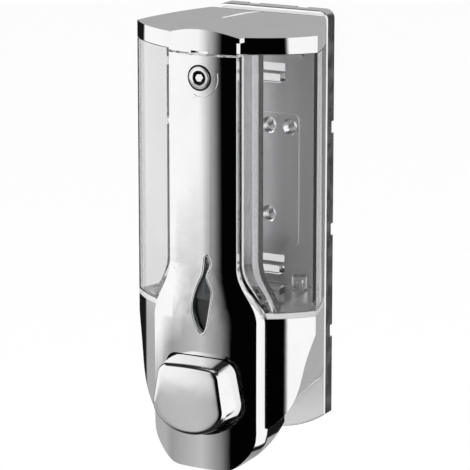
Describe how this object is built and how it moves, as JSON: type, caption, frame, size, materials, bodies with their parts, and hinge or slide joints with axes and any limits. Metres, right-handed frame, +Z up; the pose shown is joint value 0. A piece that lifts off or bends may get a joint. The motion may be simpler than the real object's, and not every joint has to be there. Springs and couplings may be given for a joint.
{
  "type": "wall mounted soap dispenser",
  "caption": "Wall mounted soap dispenser: clear tank between a chromed lid and bowl, with a flared chromed fascia that holds a lock, an S-shaped level window and a large push button.",
  "frame": {"origin": "middle of the upper row of screw holes, on the wall plane", "axes": "+Z up, +X to the right as seen from the room, +Y into the wall, so the front faces -Y"},
  "size_m": [0.088, 0.088, 0.1957],
  "materials": {
    "chromed_shell": "mirror chrome plate on ABS",
    "satin_chrome": "satin chrome plate on ABS",
    "clear_tank": "clear polished plastic",
    "grey_clear": "smoked clear plastic",
    "lock_metal": "polished zinc",
    "plated_steel": "zinc plated",
    "spring_steel": "stainless wire",
    "white_moulding": "natural white plastic",
    "grey_moulding": "grey plastic",
    "black_rubber": "smooth rubber",
    "clear_silicone": "translucent silicone"
  },
  "bodies": {
    "housing": {"wall_plate": "chromed_shell", "lower_bowl": "chromed_shell", "front_column": "chromed_shell", "tank": "clear_tank", "window_lens": "grey_clear", "lock_housing": "lock_metal", "lock_nut": "plated_steel", "lid_hinge_pin": "plated_steel", "chassis": "white_moulding", "chassis_screws": "plated_steel", "tank_screws": "plated_steel", "pump_cylinder": "white_moulding", "pump_gland": "white_moulding", "button_spring": "spring_steel", "tank_gasket": "black_rubber", "inlet_valve": "clear_silicone", "outlet_valve": "clear_silicone", "nozzle": "grey_moulding"},
    "lid": {"lid": "chromed_shell"},
    "lock": {"lock_barrel": "lock_metal", "lock_cam": "plated_steel", "cam_screw": "plated_steel"},
    "button": {"push_button": "satin_chrome", "pump_piston": "white_moulding", "piston_seal": "black_rubber"}
  },
  "joints": [
    {"name": "lid_hinge", "type": "hinge", "parent": "housing", "child": "lid", "pos_m": [0, -0.0156, 0.0464], "axis": [-1, 0, 0], "range_deg": [0, 75]},
    {"name": "lock_turn", "type": "hinge", "parent": "housing", "child": "lock", "pos_m": [0, -0.07, 0.0325], "axis": [0, 1, 0], "range_deg": [0, 90]},
    {"name": "button_push", "type": "slide", "parent": "housing", "child": "button", "axis": [0, 1, 0], "range_m": [0, 0.009], "stiffness_N_per_m": 400, "deforming": ["button_spring"]}
  ]
}
